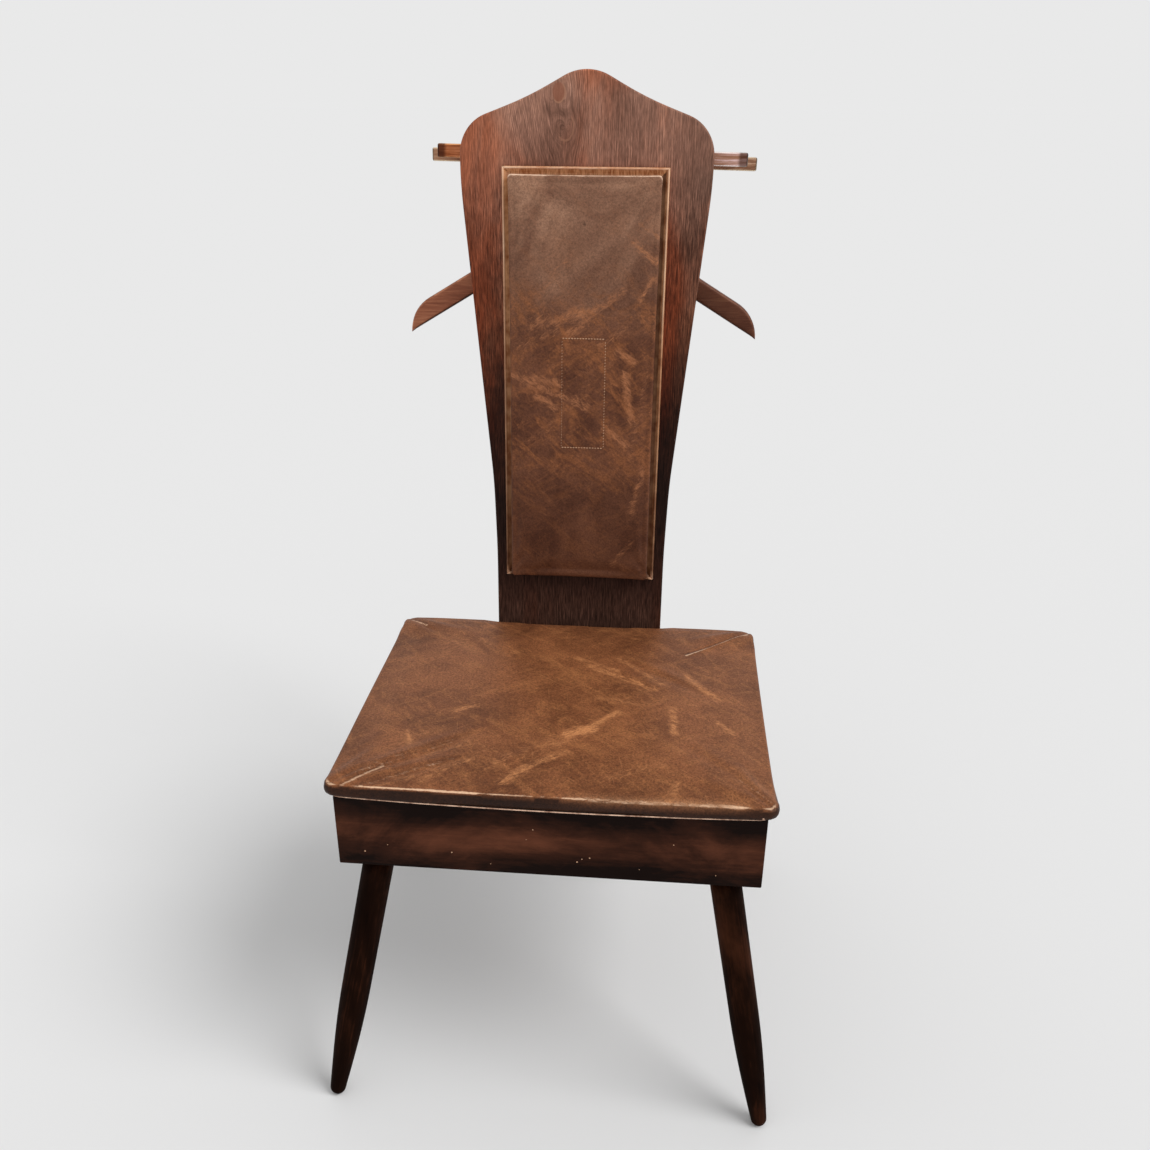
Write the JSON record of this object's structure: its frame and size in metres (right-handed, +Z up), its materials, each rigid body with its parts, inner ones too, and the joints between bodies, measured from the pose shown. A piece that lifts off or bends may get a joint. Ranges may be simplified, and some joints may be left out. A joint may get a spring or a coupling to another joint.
{
  "type": "clothes valet chair",
  "caption": "Valet chair with splayed tapered legs, a storage box under a padded lift-up seat, a tall shaped padded back plank, a coat hanger and a trouser rack.",
  "frame": {"origin": "on the floor at the middle of the footprint", "axes": "+X to the right as seen from the front, +Y to the back, +Z up"},
  "size_m": [0.5024, 0.557, 1.0671],
  "materials": {
    "dark_wood": "dark walnut stain under satin varnish",
    "red_wood": "reddish brown stain with open grain under satin varnish",
    "light_wood": "light oak coloured bead, satin varnish",
    "bare_wood": "bare plywood",
    "leather": "marbled brown leather cloth with worn tan streaks",
    "welt": "pale edge cord",
    "steel": "zinc plated"
  },
  "bodies": {
    "root": {"box_front": "dark_wood", "box_left": "dark_wood", "box_right": "dark_wood", "box_back": "dark_wood", "box_bottom": "dark_wood", "corner_blocks": "dark_wood", "leg_front_left": "dark_wood", "leg_front_right": "dark_wood", "leg_rear_left": "dark_wood", "leg_rear_right": "dark_wood", "leg_plates": "steel", "leg_plate_screws": "steel", "leg_bolts": "steel", "back_panel": "red_wood", "panel_bolts": "steel", "panel_nuts": "steel", "moulding_top": "light_wood", "moulding_bottom": "light_wood", "moulding_left": "light_wood", "moulding_right": "light_wood", "back_pad_board": "bare_wood", "back_pad": "leather", "pad_screws": "steel", "coat_hanger": "red_wood", "hanger_spacer": "red_wood", "hanger_screws": "steel", "trouser_rail_front": "red_wood", "trouser_rail_rear": "red_wood", "rack_blocks": "red_wood", "rack_spacers": "red_wood", "rack_screws": "steel", "hinge_leaves_fixed": "steel", "hinge_pins": "steel", "hinge_screws_fixed": "steel"},
    "seat_lid": {"seat_board": "dark_wood", "seat_pad": "leather", "seat_welt": "welt", "hinge_leaves_moving": "steel", "hinge_screws_moving": "steel"}
  },
  "joints": [
    {"name": "seat_lid_hinge", "type": "hinge", "parent": "root", "child": "seat_lid", "pos_m": [0, 0.15718, 0.3963], "axis": [-1, 0, 0], "range_deg": [0, 78]}
  ]
}
